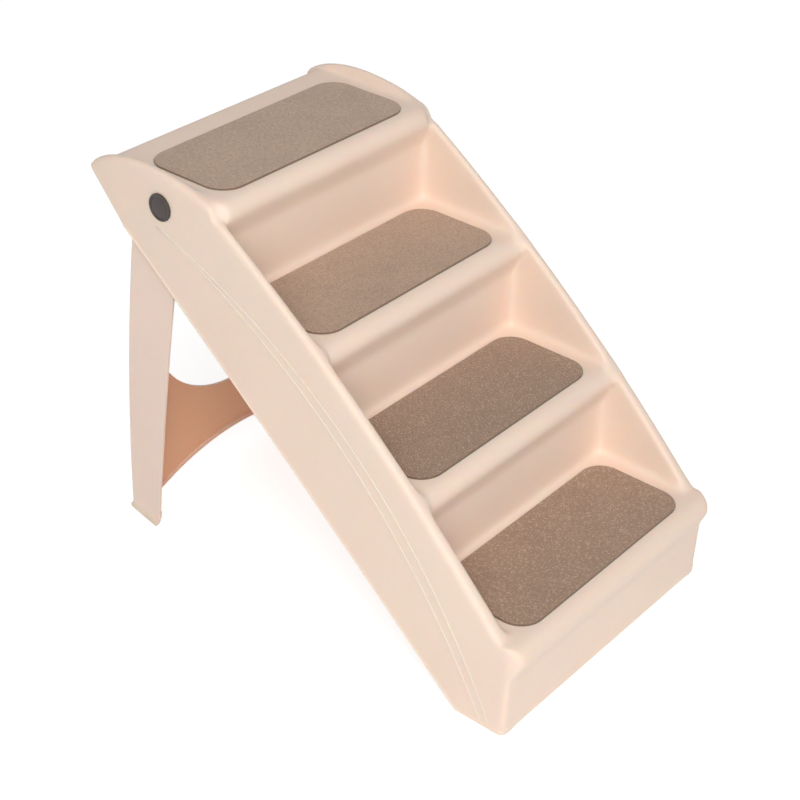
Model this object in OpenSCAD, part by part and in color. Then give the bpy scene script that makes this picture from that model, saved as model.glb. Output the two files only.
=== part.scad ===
// Folding pet stairs: a moulded four-step shell with side rims, carpet tread pads,
// and a rear leg that hinges between the side skins and folds up into the shell.
// X runs across the stairs, Y runs from the lowest step to the top platform, Z is up.
// The origin is on the floor, under the middle of the outline.

/* [Steps] */
// Height of the lowest tread above the floor
first_tread_h = 126; // [110:1:150]
// Rise from one tread to the next
step_rise = 127.5; // [115:0.5:140]
// Run from one nose to the next
step_run = 149; // [138:1:165]
// Radius of the rounded nose of each step
nose_r = 18; // [12:0.5:22]
// How far each nose stands in front of the riser below it
nose_reach = 12; // [6:0.5:15]
// Radius of the blend between a tread and the next riser
tread_fillet_r = 9; // [4:0.5:12]
// Depth of the top platform, from its nose to its back edge
platform_d = 193; // [180:1:220]
// Radius of the platform's rounded back edge
back_edge_r = 10; // [5:0.5:14]

/* [Shell] */
// Clear width between the rims, above the treads
well_w = 361; // [300:1:420]
// Lean of each side skin from the vertical, outwards to the floor
skin_lean = 1.045; // [0.8:0.005:2]
// Thickness of the moulded wall
wall = 3.2; // [2.6:0.1:4]
// How far the rims' highest point stands above the top tread
rim_lift = 15; // [8:0.5:20]
// How far behind the lowest nose's rounding each rim begins
rim_setback = 9; // [0:0.5:16]
// How far the long stretch of each rim bows above a straight line
rim_bow = 15; // [4:0.5:18]
// How far the rails' rear tips reach behind the platform
tip_reach = 20; // [12:0.5:26]
// How far the rails' rear tips lie below the top tread
tip_drop = 15; // [10:0.5:20]
// Length of each rail's flat foot on the floor
rail_foot_l = 68; // [40:0.5:90]
// How far the front riser leans back at its foot
riser_lean = 2; // [0:0.5:4]
// Gap between the front riser's lower edge and the floor
riser_gap = 4; // [2:0.5:8]
// Thickness of the stiffening ribs under the treads
rib_t = 2.4; // [1.8:0.1:3.2]
// Distance of each long rib from the middle of the stairs
rib_x = 62; // [40:1:90]

/* [Side beads] */
// Width of a raised line on a side skin
bead_w = 1.4; // [0.8:0.1:2.4]
// Height of a raised line above the side skin
bead_h = 0.5; // [0.3:0.1:1]
// How far the raised lines begin below the leg's pivot
bead_drop = 27.5; // [24:0.5:36]
// How far the raised lines begin behind the leg's pivot
bead_back = 8; // [0:0.5:10]
// How far the lower raised line bows above a straight line
low_bead_bow = 59.5; // [50:0.5:62]
// How far the upper raised line bows above a straight line
high_bead_bow = 70.5; // [64:0.5:74]

/* [Tread pads] */
// Distance from a rim to the side of a carpet pad
pad_margin = 18; // [10:0.5:40]
// Distance from the end of a nose's rounding to the front edge of its pad
pad_front_gap = 2; // [1:0.5:8]
// Distance from the back edge of a pad to the blend behind its tread
pad_back_gap = 1.5; // [1:0.5:8]
// Thickness of a carpet pad
pad_t = 3; // [2:0.1:5]
// Corner radius of a carpet pad
pad_corner_r = 30; // [12:1:40]
// Depth of the recess that holds a pad
pad_recess = 1.2; // [0.6:0.1:1.6]
// Gap round a pad in its recess
pad_gap = 0.6; // [0.3:0.1:1.5]

/* [Rear leg] */
// Distance of the leg's pivot in front of the rails' rear tips
pivot_back = 120; // [115:0.5:130]
// Distance of the leg's pivot below the top tread
pivot_drop = 29; // [26:0.5:32]
// Thickness of the leg's plates
leg_wall = 3; // [2.4:0.1:4]
// Gap between a side plate and the wall of the well beside it
leg_side_gap = 0.8; // [0.5:0.1:2]
// Lean of the leg's rear line from the vertical when it is open
leg_lean = 5; // [4:0.1:6]
// Distance from the pivot back to the leg's rear line
leg_back = 50.8; // [47:0.1:56]
// How far the leg's rear line bows backwards
leg_bow = 8; // [0:0.5:9]
// How far the front of the top of the leg stands in front of the pivot
leg_head_r = 27; // [24:0.5:28]
// How far the front edge of the leg's side plates bows backwards
leg_front_bow = 3.5; // [0:0.5:6]
// Width of the leg's side plates at the foot
leg_foot_w = 49.5; // [46:0.5:58]
// Diameter of the round opening in the leg's cross panel
leg_hole_d = 290; // [240:1:300]
// Height of the cross panel above the round opening
leg_top_bar = 37.5; // [24:0.5:60]
// Height of the arch under the cross panel
leg_arch_h = 51.5; // [40:0.5:62]
// Radius of the arch under the cross panel
leg_arch_r = 300; // [260:5:600]
// Depth of the stiffening lip round the arch
leg_lip = 5; // [4:0.5:12]
// Height of the leg's heel above the floor
heel_rise = 11; // [4:0.5:20]
// Height of the rounding at the leg's toe
toe_h = 19; // [12:0.5:26]

/* [Hinge] */
// Diameter of the hinge plug's journal
journal_d = 22; // [16:0.5:26]
// Clearance between the journal's radius and the leg's bore
journal_gap = 0.08; // [0.03:0.01:0.1]
// Diameter of the dark cap on the hinge plug
cap_d = 34; // [30:0.5:40]
// Thickness of the cap
cap_t = 2.4; // [2:0.1:4]
// Thickness of the thrust washer
washer_t = 1; // [0.6:0.1:2]
// Least thickness of the washer's seat inside the side skin
seat_t = 0.3; // [0.3:0.1:1.5]
// Diameter of the leg's hub boss
hub_d = 34; // [30:0.5:36]
// Length of the leg's hub boss, with the side plate
hub_l = 7; // [5:0.5:9]
// Thickness of the retainer disc inside the leg
retainer_t = 4; // [3:0.2:6]
// Diameter of the retainer screw's shank
screw_d = 5; // [4:0.5:6]

/* [Feet] */
// Side of a front rubber foot
front_foot_l = 34; // [24:1:40]
// Height of a front rubber foot
front_foot_h = 8; // [6:0.5:12]
// Gap between the moulded edges and the floor
foot_stand = 1; // [0.5:0.1:2]
// Width of the inner part of a rubber foot on the leg
leg_pad_w = 12; // [8:0.5:16]
// Height of the inner part of a rubber foot on the leg
leg_pad_h = 9; // [8:0.5:12]
// Height of the strip of a rubber foot under the leg's side plate
sole_h = 5.5; // [3:0.5:7]
// How far that strip stands proud of the side plate
sole_lip = 1.2; // [0.4:0.1:2]

/* [Storage latch] */
// How far the turned latch reaches over the folded leg's cross panel
latch_overlap = 12; // [8:0.5:16]
// Width of the latch's arm
latch_w = 18; // [12:0.5:24]
// Thickness of the latch's arm
latch_t = 4; // [3:0.2:5]
// Diameter of the latch's hub and of the boss that carries it
latch_hub_d = 22; // [18:0.5:26]
// Diameter of the shoulder screw's shoulder
shoulder_d = 8; // [6:0.5:10]
// Diameter of the shoulder screw's thread
thread_d = 5; // [4:0.5:6]

/* [Hidden] */
$fn = 64;

shell_colour = [0.93, 0.85, 0.78];
leg_colour = [0.90, 0.79, 0.70];
pad_colour = [0.62, 0.54, 0.47];
dark_colour = [0.25, 0.21, 0.20];
steel_colour = [0.72, 0.72, 0.74];
rubber_colour = [0.20, 0.20, 0.20];
foot_colour = [0.88, 0.80, 0.71];

// Overrun of every cut past the surface that it leaves through
over = 2;
// Running gap between faces of pieces that move past each other
run_gap = 0.3;
// Points of an outline that lie closer than this are one point
weld = 0.05;
// Number of facets on a small arc and on a long bow of an outline
arc_n = 6;
bow_n = 12;

// Treads are counted from 0 at the lowest to last_step at the platform.
last_step = 3;
platform_y = last_step * step_run;
platform_z = first_tread_h + last_step * step_rise;
platform_back = platform_y + platform_d;
depth = platform_back + tip_reach;
top_z = platform_z + rim_lift;
riser_foot = nose_reach + riser_lean;
// Share of the nose's radius at which its underside meets the riser
nose_drop_share = 2.6;
nose_drop = nose_drop_share * nose_r;
// Angle at which a nose's arc ends, on its underside
nose_end_angle = 210;

// Middle of the leg's pivot, in the side plane
pivot = [depth - pivot_back, platform_z - pivot_drop];

// Corners of the rails' outline, as seen from the side
rim_end = [platform_y, platform_z - nose_r];
shoulder_back = 2;
rim_shoulder = [platform_y + nose_r + shoulder_back, platform_z];
peak_back = 39;
rim_peak = [pivot[0] + peak_back, top_z];
tip_top = [depth - tip_reach / 2, platform_z - tip_drop / 2];
tip = [depth, platform_z - tip_drop];
knee_back = 64;
knee_drop = 47;
knee = [pivot[0] + knee_back, pivot[1] - knee_drop];
rail_foot = [riser_foot + rail_foot_l, 0];
// How far the outline's other stretches bow out of a straight line
peak_bow = 6.5;
tip_bow = 2;
rail_back_bow = 2;
// How far a rail's lower edge bows up, above a straight line
rail_low_bow = 3;

// The hinge's stack, from the middle of the stairs out through the side skin
washer_gap = 0.2;
leg_half = well_w / 2 + wall + leg_side_gap + leg_wall;
leg_w = 2 * leg_half;
seat_x = leg_half + washer_gap + washer_t;
skin_x = seat_x + seat_t + wall;

// Half width of the shell's drafted outer face at a height
function half_at(z) = skin_x + (pivot[1] - z) * tan(skin_lean);
base_w = 2 * half_at(0);

// Points of a gentle bow from a to b that stands out by sag on its left side
function bow(a, b, sag, n = bow_n) =
    let (d = b - a, len = norm(d), left = [-d[1], d[0]] / len)
    [for (i = [0:n]) let (t = i / n) a + d * t + left * (4 * sag * t * (1 - t))];

// Points of an arc about c from angle a0 to a1
function arc(c, r, a0, a1, n = arc_n) =
    [for (i = [0:n]) let (a = a0 + (a1 - a0) * i / n) c + r * [cos(a), sin(a)]];

// An outline with each run of points that lie together kept as one point
function welded(pts) =
    [for (i = [0:len(pts) - 1]) if (norm(pts[i] - pts[(i + 1) % len(pts)]) > weld) pts[i]];

// A line shifted by d to its right
function shifted(line, d) =
    [for (i = [0:len(line) - 1])
        let (a = line[max(i - 1, 0)], b = line[min(i + 1, len(line) - 1)], way = (b - a) / norm(b - a))
        line[i] + d * [way[1], -way[0]]];

// A list in the opposite order
function reversed(list) = [for (i = [len(list) - 1:-1:0]) list[i]];

// Front of step k, from the riser below it to the top of its nose
function step_front(k) =
    let (y = k * step_run, z = first_tread_h + k * step_rise)
    concat(
        [[y + nose_reach, z - nose_drop]],
        arc([y + nose_r, z - nose_r], nose_r, nose_end_angle, 90)
    );

// Blend between the tread of step k and the riser of the next step
function tread_end(k) =
    let (y = (k + 1) * step_run + nose_reach - tread_fillet_r,
         z = first_tread_h + k * step_rise + tread_fillet_r)
    arc([y, z], tread_fillet_r, 270, 360);

// Upper face of the stepped floor, from the front riser's foot to the platform's back edge
step_line = concat(
    [[riser_foot, 0]],
    [for (k = [0:last_step - 1]) each concat(step_front(k), tread_end(k))],
    step_front(last_step),
    arc([platform_back - back_edge_r, platform_z - back_edge_r], back_edge_r, 90, 0)
);

// The rim's crest, which follows the platform's nose on its way up, and a rail's whole outline
long_crest = bow([nose_r + rim_setback, first_tread_h], rim_end, rim_bow);
top_nose = arc([platform_y + nose_r, platform_z - nose_r], nose_r, 180, 90);
high_crest = concat(bow(rim_shoulder, rim_peak, peak_bow), bow(rim_peak, tip_top, peak_bow));
crest = concat(long_crest, top_nose, high_crest);
rail_outline = welded(concat(
    [[riser_foot, 0]],
    step_front(0),
    crest,
    bow(tip_top, tip, tip_bow, arc_n),
    bow(tip, knee, rail_back_bow, arc_n),
    bow(knee, rail_foot, -rail_low_bow)
));

// Lays a flat outline in the side plane and extrudes it along X from x0
module along_x(x0, len) {
    translate([x0, 0, 0])
        rotate([90, 0, 90])
            linear_extrude(len)
                children();
}

// Block between the two drafted side faces, set in by inset on each side
module draft_block(inset) {
    low = half_at(-over) - inset;
    high = half_at(top_z + over) - inset;
    translate([0, depth + over, 0])
        rotate([90, 0, 0])
            linear_extrude(depth + 2 * over)
                polygon([[-low, -over], [low, -over], [high, top_z + over], [-high, top_z + over]]);
}

// Moves a piece from the side plane's corner to the part's own frame
module place() {
    translate([0, -depth / 2, 0]) children();
}

// Puts a piece that is drawn on the +X side on the side that is named by its sign
module on_side(side) {
    mirror([side < 0 ? 1 : 0, 0, 0]) children();
}

module both_sides() {
    for (side = [-1, 1]) on_side(side) children();
}

// The pivot's own frame: Z runs along the hinge, out of the side
module at_pivot(x = 0) {
    translate([x, pivot[0], pivot[1]]) rotate([0, 90, 0]) children();
}

// Leg, in its own frame: u runs back from the pivot, w runs up along the rear line
toe_share = 0.9;
toe_u = leg_back - leg_foot_w * toe_share;
toe_bow = 2;
web_top_share = 1.18;
web_top_w = -web_top_share * leg_head_r;
head_side_share = 0.75;
head_side_w = -head_side_share * leg_head_r;
// Place along the leg's rear line of a point at u behind the pivot and z above the floor
function leg_w_at(u, z) = (z - pivot[1] - u * sin(leg_lean)) / cos(leg_lean);
leg_low = leg_w_at(toe_u, 0);
heel_w = leg_w_at(leg_back, heel_rise);
arch_w = leg_w_at(leg_back, leg_arch_h);
hole_w = web_top_w - leg_top_bar - leg_hole_d / 2;

// How far the leg's rear line bows out at a place along it
function rear_bow(w) =
    let (t = (w - heel_w) / (web_top_w - heel_w)) 4 * leg_bow * t * (1 - t);

// The leg's own frame: pivot at the origin, Y back, Z along the rear line
module leg_frame() {
    translate([0, pivot[0], pivot[1]]) rotate([leg_lean, 0, 0]) children();
}

// The folded leg lies along the stairs' slope: s runs up it from the pivot and n stands
// square on it. The leg turns through 90 + leg_lean - fold_slope to get there.
fold_slope = atan2(step_rise, step_run);
function slope_s(p) = (p - pivot) * [cos(fold_slope), sin(fold_slope)];
function slope_n(p) = (p - pivot) * [-sin(fold_slope), cos(fold_slope)];

module slope_frame() {
    translate([0, pivot[0], pivot[1]]) rotate([fold_slope, 0, 0]) children();
}

// Middle of the rounded inner corner under tread k, seen from below
function inner_corner(k) =
    [(k + 1) * step_run + nose_reach + wall, first_tread_h + k * step_rise - wall]
    + tread_fillet_r * [cos(315) - 1, sin(315) + 1];

// Everything above the stepped floor and behind the platform's back edge
module well_cut() {
    along_x(-well_w / 2, well_w)
        polygon(concat(
            [[-over, -over], [-over, top_z + over], [depth + over, top_z + over], [depth + over, 0]],
            [[platform_back, 0]],
            reversed(step_line),
            [[riser_foot, -over]]
        ));
}

// Everything inside the outer skins, open below
module full_hollow() {
    under_crest = shifted(welded(crest), wall);
    front = [for (p = step_front(0)) p + [wall, -wall]];
    intersection() {
        along_x(-base_w / 2, base_w)
            polygon(concat(
                [[riser_foot + wall, -over]],
                [for (p = front) if (p[0] < nose_r) p],
                [for (p = under_crest) if (p[0] > nose_r + wall) p],
                [[depth - 2 * wall, tip[1] - wall], [depth - 2 * wall, -over]]
            ));
        draft_block(wall);
    }
}

// What stays of the hollow's middle: the stepped floor and all above and behind it
module step_core() {
    half = well_w / 2 + wall;
    floor_line = concat(
        tread_end(0),
        [for (k = [1:last_step - 1]) each concat(step_front(k), tread_end(k))],
        step_front(last_step)
    );
    along_x(-half, 2 * half)
        polygon(welded(concat(
            [[-over, first_tread_h - wall]],
            [for (p = floor_line) p + [wall, -wall]],
            [[platform_back - back_edge_r, platform_z - wall]],
            [[platform_back - wall, platform_z - back_edge_r], [platform_back - wall, -2 * over]],
            [[depth + over, -2 * over], [depth + over, top_z + 2 * over], [-over, top_z + 2 * over]]
        )));
}

module rounded_plate(w, d, t, r) {
    linear_extrude(t)
        union() {
            translate([-w / 2, r]) square([w, d - 2 * r]);
            translate([-w / 2 + r, 0]) square([w - 2 * r, d]);
            for (x = [-w / 2 + r, w / 2 - r], y = [r, d - r])
                translate([x, y]) circle(r);
        }
}

// A pad covers the flat of its tread
pad_setback = nose_r + pad_front_gap;
pad_w = well_w - 2 * pad_margin;
pad_d = step_run + nose_reach - tread_fillet_r - pad_setback - pad_back_gap;

// A tread pad's place: its front edge, on the floor of its recess
module at_tread(k) {
    translate([0, k * step_run + pad_setback, first_tread_h + k * step_rise - pad_recess])
        children();
}

module pad_recesses() {
    for (k = [0:last_step])
        at_tread(k)
            translate([0, -pad_gap, 0])
                rounded_plate(pad_w + 2 * pad_gap, pad_d + 2 * pad_gap, pad_recess + over,
                    pad_corner_r + pad_gap);
}

// Two raised lines that run from below the pivot to the foot of each side skin
low_bead_foot = 47;
high_bead_foot = 34;
module side_beads() {
    top = [pivot[0] + bead_back, pivot[1] - bead_drop];
    lines = [
        bow(top, [low_bead_foot, 0], -low_bead_bow),
        bow(top, [high_bead_foot, 0], -high_bead_bow)
    ];
    difference() {
        intersection() {
            for (line = lines)
                along_x(-base_w / 2 - bead_h, base_w + 2 * bead_h)
                    polygon(concat(line, reversed(shifted(line, bead_w))));
            draft_block(-bead_h);
        }
        draft_block(wall / 2);
    }
}

// Upright ribs that fill the pockets under the treads and behind the top riser
module tread_ribs() {
    for (x = [-rib_x, rib_x], k = [0:last_step - 1]) {
        y = k * step_run + nose_reach + wall / 2;
        z = first_tread_h + k * step_rise - wall / 2;
        foot = k == 0 ? step_rise / 2 : step_rise - wall;
        along_x(x - rib_t / 2, rib_t)
            polygon([
                [y, z - foot],
                [y, z - nose_drop / 2],
                [y + nose_r / 2, z],
                [y + step_run, z]
            ]);
    }
    low = platform_z - pivot_drop;
    high = platform_z - wall / 2;
    front = platform_y + nose_reach + wall / 2;
    for (x = [-rib_x, rib_x])
        along_x(x - rib_t / 2, rib_t)
            polygon([
                [front, platform_z - step_rise + wall],
                [front, platform_z - nose_drop / 2],
                [platform_y + nose_r, high],
                [platform_back - wall, high - back_edge_r],
                [platform_back - wall, low],
                [platform_y + step_run / 2, low]
            ]);
}

// Blocks behind the open leg that stop it from opening further
stop_w = 20;
stop_t = 9;
stop_h = 17;
module open_stops() {
    low = web_top_w - stop_h;
    both_sides()
        leg_frame()
            translate([leg_half - stop_w, leg_back + rear_bow(low) + run_gap, low])
                cube([stop_w + wall, stop_t, stop_h]);
}

// Ribs under the second inner corner that the folded leg comes to rest on
rest_t = 6;
rest_l = 26;
rest_inset = 22;
module fold_rests() {
    s = slope_s(inner_corner(1));
    low = leg_wall + run_gap - leg_back - rear_bow(s);
    high = slope_n(inner_corner(1)) + wall;
    both_sides()
        slope_frame()
            translate([leg_half - rest_inset, s - rest_l / 2, low])
                cube([rest_t, rest_l, high - low]);
}

// The latch turns under the first inner corner, behind the folded leg's cross panel
latch_s = slope_s(inner_corner(0));
latch_n = leg_back + rear_bow(arch_w + latch_overlap) + 2 * run_gap;
latch_l = arch_w + latch_overlap - latch_s;
thread_l = 14;
thread_end_gap = 2;

// Boss under the first inner corner that carries the storage latch
module latch_boss() {
    slope_frame()
        translate([0, latch_s, -latch_n])
            cylinder(h = latch_n + slope_n(inner_corner(0)) + wall, d = latch_hub_d);
}

// Round seats for the thrust washers inside the side skins
module washer_seats() {
    both_sides()
        at_pivot(seat_x)
            cylinder(h = skin_x - seat_x - wall / 2, d = cap_d);
}

// Corner shelves that the front feet seat against
shelf_t = 2.6;
module foot_shelves() {
    side = front_foot_l + wall;
    both_sides()
        translate([half_at(0) - wall / 2 - side, riser_foot + wall / 2, front_foot_h])
            cube([side, side, shelf_t]);
}

// Bores of the hinge plugs and the flat seats of their caps
bore_gap = 0.1;
cap_seat_t = 0.4;
cap_seat_x = skin_x - cap_seat_t;
module plug_bores() {
    both_sides() {
        at_pivot(leg_half)
            cylinder(h = base_w / 2, d = journal_d + 2 * bore_gap);
        at_pivot(cap_seat_x)
            cylinder(h = base_w / 2, d = cap_d + 2 * bore_gap);
    }
}

// The front riser and the rails' edges stand clear of the floor
module floor_cuts() {
    translate([-base_w / 2 - over, -over, -over])
        cube([base_w + 2 * over, depth + 2 * over, foot_stand + over]);
    translate([-base_w / 2 + front_foot_l / 2, -over, -over])
        cube([base_w - front_foot_l, riser_foot + 2 * wall + over, riser_gap + over]);
}

module step_shell() {
    place() color(shell_colour) {
        difference() {
            union() {
                difference() {
                    intersection() {
                        along_x(-base_w / 2, base_w) polygon(rail_outline);
                        draft_block(0);
                    }
                    well_cut();
                    difference() {
                        full_hollow();
                        step_core();
                    }
                    pad_recesses();
                }
                side_beads();
                tread_ribs();
                open_stops();
                fold_rests();
                latch_boss();
                washer_seats();
                foot_shelves();
            }
            plug_bores();
            // Thread bore of the latch screw
            slope_frame()
                translate([0, latch_s, -latch_n - over])
                    cylinder(h = thread_l + over, d = thread_d);
            floor_cuts();
        }
    }
}

module tread_pad(k) {
    place()
        color(pad_colour)
            at_tread(k)
                rounded_plate(pad_w, pad_d, pad_t, pad_corner_r);
}

// Outline of the leg's side plates, in the leg's frame
leg_front = leg_back - leg_foot_w;
toe_top = [leg_front, leg_low + toe_h];
leg_rear = bow([leg_back, heel_w], [leg_back, web_top_w], -leg_bow);
leg_outline = welded(concat(
    leg_rear,
    arc([0, 0], leg_head_r, 30, 180, bow_n),
    bow([-leg_head_r, head_side_w], toe_top, leg_front_bow),
    bow(toe_top, [toe_u, leg_low], -toe_bow, arc_n)
));

module leg_arch(r) {
    translate([0, leg_back + leg_bow + over, arch_w - leg_arch_r])
        rotate([90, 0, 0])
            cylinder(h = leg_bow + leg_lip + 3 * over, r = r, $fn = 128);
}

// The leg's cross panel: one plate along the rear line, with the round opening and the arch
module cross_panel() {
    difference() {
        along_x(-leg_half, leg_w)
            polygon(concat(leg_rear, [for (p = reversed(leg_rear)) p - [leg_wall, 0]]));
        translate([0, leg_back + leg_bow + over, hole_w])
            rotate([90, 0, 0])
                cylinder(h = leg_bow + leg_wall + 2 * over, d = leg_hole_d, $fn = 96);
        leg_arch(leg_arch_r);
    }
    // Stiffening lip round the arch
    intersection() {
        difference() {
            leg_arch(leg_arch_r + leg_wall);
            leg_arch(leg_arch_r);
        }
        translate([-leg_half, leg_back - leg_lip, heel_w])
            cube([leg_w, leg_lip, leg_arch_h]);
    }
}

// Place along the leg's rear line of a point of the sole's line, lift above the sole
function sole_w(u, lift) = leg_low + lift + (heel_w - leg_low) * (u - toe_u) / (leg_back - toe_u);

// Band along the sole, from u0 back to u1 and between two heights above the sole
module sole_band(u0, u1, low, high) {
    polygon([[u0, sole_w(u0, low)], [u1, sole_w(u1, low)], [u1, sole_w(u1, high)], [u0, sole_w(u0, high)]]);
}

// The inner part of a rubber foot, under its shelf
pad_shelf_t = 2.4;
pad_start = toe_u + leg_pad_w / 2;
pad_end = leg_back - leg_lip - run_gap;
pad_x = leg_half - leg_wall - leg_pad_w;

module rear_leg() {
    place() color(leg_colour)
        difference() {
            leg_frame() {
                both_sides() {
                    along_x(leg_half - leg_wall, leg_wall) polygon(leg_outline);
                    translate([leg_half - hub_l, 0, 0])
                        rotate([0, 90, 0])
                            cylinder(h = hub_l, d = hub_d);
                    // Shelf over the rubber foot
                    along_x(pad_x, leg_pad_w + leg_wall / 2)
                        sole_band(pad_start, pad_end, leg_pad_h, leg_pad_h + pad_shelf_t);
                }
                cross_panel();
            }
            at_pivot(-leg_half - over)
                cylinder(h = leg_w + 2 * over, d = journal_d + 2 * journal_gap);
            // The side plates end where the rubber feet's strips begin
            leg_frame()
                both_sides()
                    along_x(leg_half - leg_wall, leg_wall + over)
                        sole_band(leg_front - over, leg_back + over, -over, sole_h);
        }
}

// One hinge plug: the capped head outside the skin and its journal with a screw bore
cap_rim_w = 3;
cap_rim_t = 0.8;
journal_end = leg_half - hub_l - run_gap;
screw_l = 16;
screw_bore_l = 10;
module hinge_plug(side) {
    place() color(dark_colour)
        on_side(side)
            difference() {
                union() {
                    at_pivot(cap_seat_x) cylinder(h = cap_t, d = cap_d);
                    at_pivot(journal_end) cylinder(h = cap_seat_x - journal_end, d = journal_d);
                }
                at_pivot(cap_seat_x + cap_t - cap_rim_t)
                    cylinder(h = cap_rim_t + over, d = cap_d - 2 * cap_rim_w);
                at_pivot(journal_end - over)
                    cylinder(h = screw_bore_l + over, d = screw_d);
            }
}

module hinge_washer(side) {
    place() color(dark_colour)
        on_side(side)
            difference() {
                at_pivot(leg_half + washer_gap)
                    cylinder(h = washer_t, d = hub_d);
                at_pivot(leg_half)
                    cylinder(h = washer_t + 2 * over, d = journal_d + 2 * bore_gap);
            }
}

// Disc on the journal's end that keeps the leg on the plug
retainer_inset = 1;
module hinge_retainer(side) {
    place() color(dark_colour)
        on_side(side)
            difference() {
                at_pivot(journal_end - retainer_t)
                    cylinder(h = retainer_t, d = hub_d - 2 * retainer_inset);
                at_pivot(journal_end - retainer_t - over)
                    cylinder(h = retainer_t + 2 * over, d = screw_d);
            }
}

screw_head_h = 3;
module retainer_screw(side) {
    place() color(steel_colour)
        on_side(side)
            at_pivot(journal_end - retainer_t - screw_head_h)
                union() {
                    cylinder(h = screw_head_h, d = 2 * screw_d);
                    cylinder(h = screw_l, d = screw_d);
                }
}

module front_foot(side) {
    place() color(rubber_colour)
        on_side(side)
            translate([half_at(0) - wall - front_foot_l - run_gap, riser_foot + wall + run_gap, 0])
                cube([front_foot_l, front_foot_l, front_foot_h]);
}

// Rubber foot of the leg: a strip under the side plate and a part inside it, below the shelf
module leg_foot(side) {
    place() color(foot_colour)
        leg_frame()
            on_side(side) {
                along_x(pad_x, leg_pad_w + leg_wall / 2)
                    sole_band(pad_start, pad_end, 0, sole_h);
                along_x(pad_x, leg_pad_w)
                    sole_band(pad_start, pad_end, 0, leg_pad_h);
                along_x(leg_half - leg_wall, leg_wall + sole_lip)
                    intersection() {
                        for (u = [0, sole_lip])
                            translate([u, 0]) polygon(leg_outline);
                        sole_band(leg_front - over, leg_back + over, -over, sole_h);
                    }
            }
}

// The turning latch, stored across the stairs
shoulder_gap = 0.06;
module storage_latch() {
    arm_l = latch_l - latch_w / 2;
    place() color(dark_colour)
        slope_frame()
            translate([0, latch_s, -latch_n - latch_t])
                difference() {
                    union() {
                        cylinder(h = latch_t, d = latch_hub_d);
                        translate([0, -latch_w / 2, 0]) cube([arm_l, latch_w, latch_t]);
                        translate([arm_l, 0, 0]) cylinder(h = latch_t, d = latch_w);
                    }
                    translate([0, 0, -over])
                        cylinder(h = latch_t + 2 * over, d = shoulder_d + 2 * shoulder_gap);
                }
}

latch_head_d = 14;
latch_head_h = 3;
module latch_screw() {
    shoulder_l = latch_t + run_gap;
    place() color(steel_colour)
        slope_frame()
            translate([0, latch_s, -latch_n - shoulder_l])
                union() {
                    cylinder(h = shoulder_l, d = shoulder_d);
                    translate([0, 0, -latch_head_h]) cylinder(h = latch_head_h, d = latch_head_d);
                    cylinder(h = shoulder_l + thread_l - thread_end_gap, d = thread_d);
                }
}

step_shell();
tread_pad(0);  // tread_pad_1
tread_pad(1);  // tread_pad_2
tread_pad(2);  // tread_pad_3
tread_pad(3);  // tread_pad_4
rear_leg();
hinge_plug(-1);  // hinge_plug_left
hinge_plug(1);  // hinge_plug_right
hinge_washer(-1);  // hinge_washer_left
hinge_washer(1);  // hinge_washer_right
hinge_retainer(-1);  // hinge_retainer_left
hinge_retainer(1);  // hinge_retainer_right
retainer_screw(-1);  // retainer_screw_left
retainer_screw(1);  // retainer_screw_right
front_foot(-1);  // front_foot_left
front_foot(1);  // front_foot_right
leg_foot(-1);  // leg_foot_left
leg_foot(1);  // leg_foot_right
storage_latch();
latch_screw();
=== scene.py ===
"""Folding pet stairs: the moulded shell, carpet pads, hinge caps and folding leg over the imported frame.

Lengths are in metres. Points in the side plane are (back, up): back from the first nose and up from the floor. The
object's frame has its origin on the floor, under the middle of the outline.
"""

import math

import bmesh
import bpy
from mathutils import Matrix, Vector


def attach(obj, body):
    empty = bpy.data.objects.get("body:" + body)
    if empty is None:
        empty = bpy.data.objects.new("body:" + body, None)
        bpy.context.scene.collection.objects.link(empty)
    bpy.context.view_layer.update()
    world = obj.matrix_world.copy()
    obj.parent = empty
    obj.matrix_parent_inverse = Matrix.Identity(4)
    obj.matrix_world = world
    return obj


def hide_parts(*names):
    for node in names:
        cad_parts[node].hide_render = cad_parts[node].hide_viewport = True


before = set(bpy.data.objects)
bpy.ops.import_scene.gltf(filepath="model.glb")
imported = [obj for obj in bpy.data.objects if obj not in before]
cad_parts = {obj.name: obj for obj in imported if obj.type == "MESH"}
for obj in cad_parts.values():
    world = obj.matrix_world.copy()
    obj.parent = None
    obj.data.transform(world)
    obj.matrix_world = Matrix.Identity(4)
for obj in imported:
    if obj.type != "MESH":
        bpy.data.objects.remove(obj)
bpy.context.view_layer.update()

bl_info = {
    "name": "Folding pet stairs",
    "version": (1, 0, 0),
    "blender": (4, 5, 0),
    "location": "View3D > Sidebar > Pet stairs",
    "description": "Moulded folding pet stairs with carpet pads, built over a packed frame",
    "category": "Object",
}


def length(name, description, default):
    return bpy.props.FloatProperty(
        name=name, description=description, default=default, min=0, precision=4, unit="LENGTH", subtype="DISTANCE"
    )


def colour(name, description, default):
    return bpy.props.FloatVectorProperty(
        name=name, description=description, default=default, size=3, min=0, max=1, subtype="COLOR"
    )


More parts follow.
